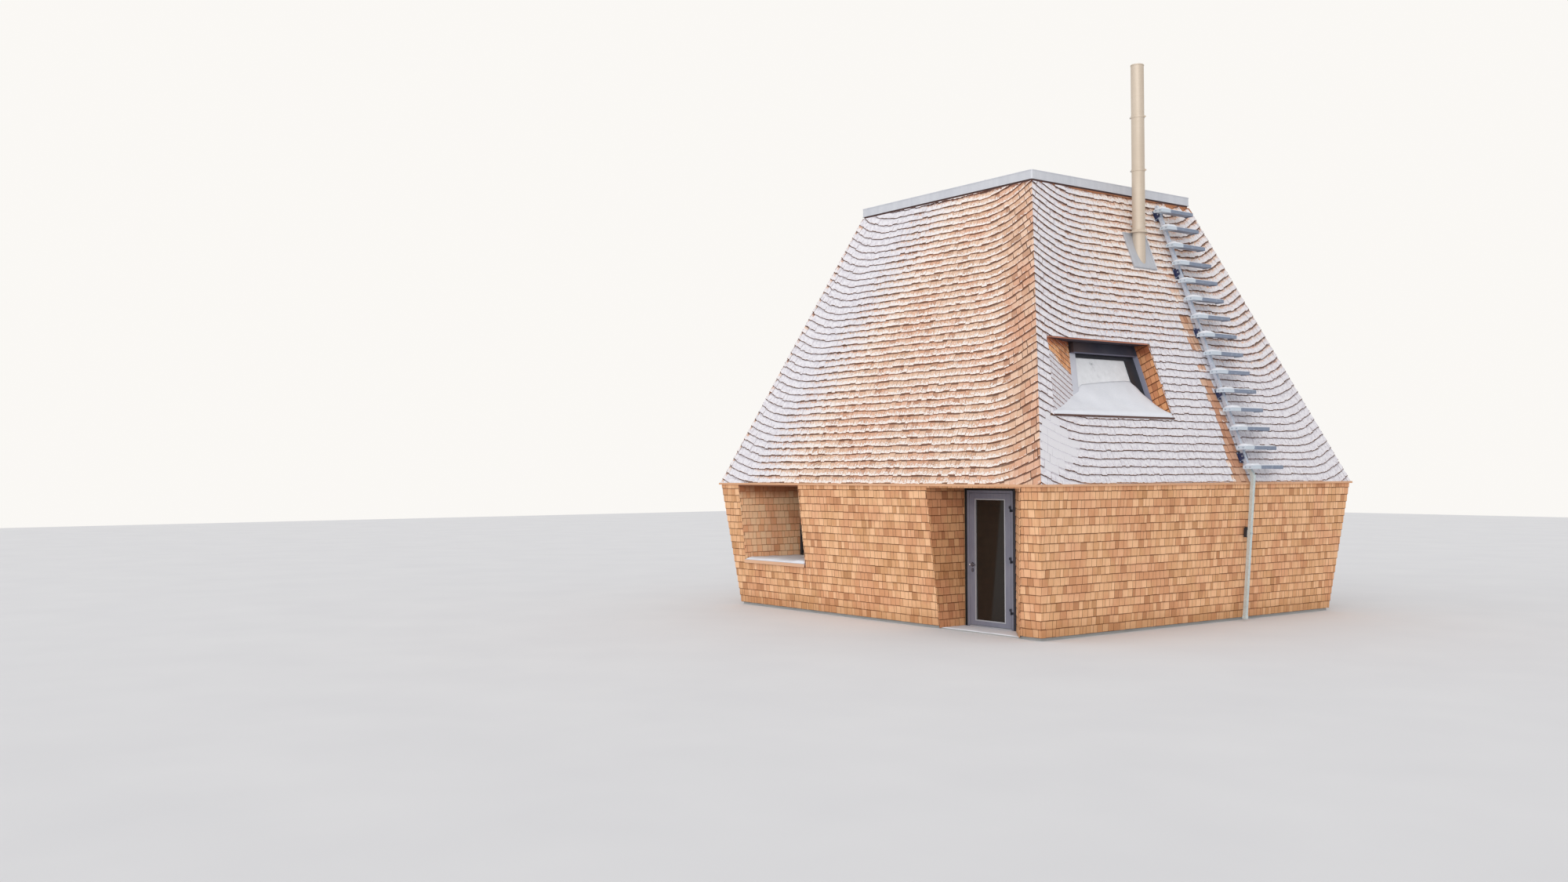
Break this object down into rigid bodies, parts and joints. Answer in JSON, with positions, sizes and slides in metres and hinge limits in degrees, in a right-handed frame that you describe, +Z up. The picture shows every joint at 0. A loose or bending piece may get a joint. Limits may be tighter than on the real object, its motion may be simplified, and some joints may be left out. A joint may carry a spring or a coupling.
{
  "type": "hipped shingle cabin",
  "caption": "Low cabin with leaning shingle-clad walls under a tall flat-topped hipped roof, with deep niches, an outward-opening glazed door, a flue and a roof ladder.",
  "frame": {"origin": "on the ground under the middle of the eave outline", "axes": "+Z up; -Y is the outward direction of the door wall; +X is the outward direction of the wall with the ladder and the roof window"},
  "size_m": [8.7878, 8.4, 9.88],
  "materials": {
    "shingles": "weathered sawn larch",
    "soffit_boards": "sawn",
    "eave_timber": "stained",
    "floorboards": "satin",
    "concrete": "rough",
    "grey_sheet": "satin",
    "stainless": "satin",
    "galvanised": "dull",
    "slate_paint": "satin",
    "black_frame": "satin",
    "glass": "gloss"
  },
  "bodies": {
    "building": {"foundation": "concrete", "doorstep": "concrete", "floor": "floorboards", "upper_floor": "floorboards", "front_wall": "shingles", "window_apron_walls": "shingles", "right_wall": "shingles", "left_wall": "shingles", "back_wall": "shingles", "door_niche_walls": "shingles", "door_niche_soffit": "soffit_boards", "window_niche_linings": "shingles", "window_niche_sills": "grey_sheet", "window_niche_frames": "black_frame", "window_niche_glass": "glass", "eave_boards": "eave_timber", "front_roof": "shingles", "back_roof": "shingles", "right_roof": "shingles", "right_roof_middle": "shingles", "left_roof": "shingles", "left_roof_middle": "shingles", "roof_deck": "eave_timber", "roof_cap": "grey_sheet", "roof_window_cheeks": "shingles", "roof_window_sills": "grey_sheet", "roof_window_frames": "black_frame", "roof_window_glass": "glass", "roof_window_heads": "soffit_boards", "roof_window_trims": "grey_sheet", "flue": "stainless", "flue_flashing": "grey_sheet", "ladder_spine": "galvanised", "ladder_treads": "galvanised", "ladder_mast": "galvanised", "door_frame": "slate_paint", "door_threshold": "grey_sheet", "door_packers": "black_frame", "hinge_pins": "stainless"},
    "door": {"door_leaf": "slate_paint", "door_glass": "glass", "door_bead": "grey_sheet", "door_handle": "stainless", "hinge_knuckles": "stainless"}
  },
  "joints": [
    {"name": "door_hinge", "type": "hinge", "parent": "building", "child": "door", "pos_m": [2.8015, -3.313, 1.1], "axis": [0, 0, 1], "range_deg": [0, 105]}
  ]
}
